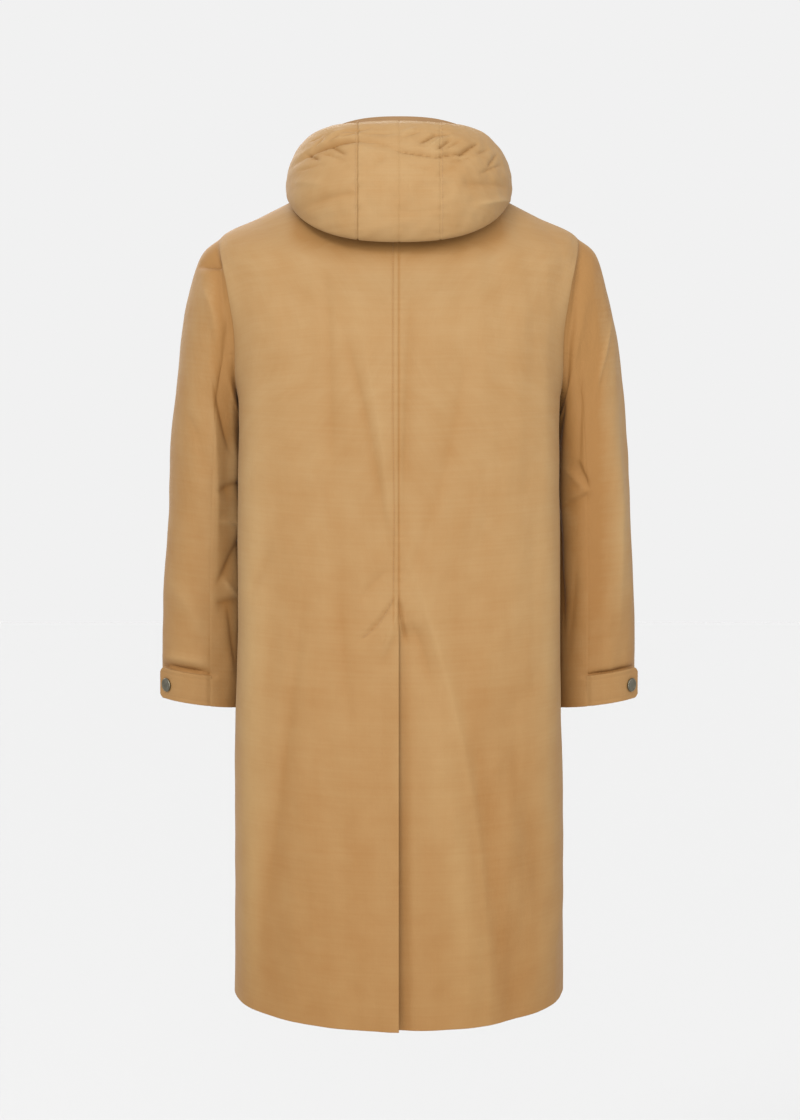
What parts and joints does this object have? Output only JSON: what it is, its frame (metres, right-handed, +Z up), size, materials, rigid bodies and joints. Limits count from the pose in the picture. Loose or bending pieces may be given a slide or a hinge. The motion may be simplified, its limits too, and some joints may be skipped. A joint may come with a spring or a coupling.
{
  "type": "long hooded parka",
  "caption": "Long tan cotton parka in its worn hollow form, with the hood folded down on the back, set-in sleeves, snapped cuff tabs and a centre back vent.",
  "frame": {"origin": "the middle of the neck, level with the neck side points of the shoulder seams, where the wearer's shoulders hold the coat up", "axes": "+Z up along the coat, +X to the wearer's left, +Y to the wearer's back"},
  "size_m": [0.6648, 0.3333, 1.2087],
  "materials": {
    "shell_cloth": "fine tan cotton cloth with a faint sheen",
    "facing_cloth": "the same cotton on its wrong side, a little browner",
    "snap_metal": "plain gunmetal snap cap"
  },
  "bodies": {
    "root": {"back_upper_left": "shell_cloth", "back_upper_right": "shell_cloth", "back_lower_left": "shell_cloth", "back_lower_right": "shell_cloth", "front_upper_left": "shell_cloth", "front_upper_right": "shell_cloth", "front_lower_left": "shell_cloth", "front_lower_right": "shell_cloth", "sleeve_upper_left": "shell_cloth", "sleeve_upper_right": "shell_cloth", "sleeve_under_top_left": "shell_cloth", "sleeve_under_top_right": "shell_cloth", "sleeve_under_low_left": "shell_cloth", "sleeve_under_low_right": "shell_cloth", "cuff_tab_left": "shell_cloth", "cuff_tab_right": "shell_cloth", "cuff_snap_left": "snap_metal", "cuff_snap_right": "snap_metal", "hood_centre_left": "shell_cloth", "hood_centre_right": "shell_cloth", "hood_side_left": "shell_cloth", "hood_side_right": "shell_cloth", "hood_facing_left": "facing_cloth", "hood_facing_right": "facing_cloth"}
  },
  "joints": []
}
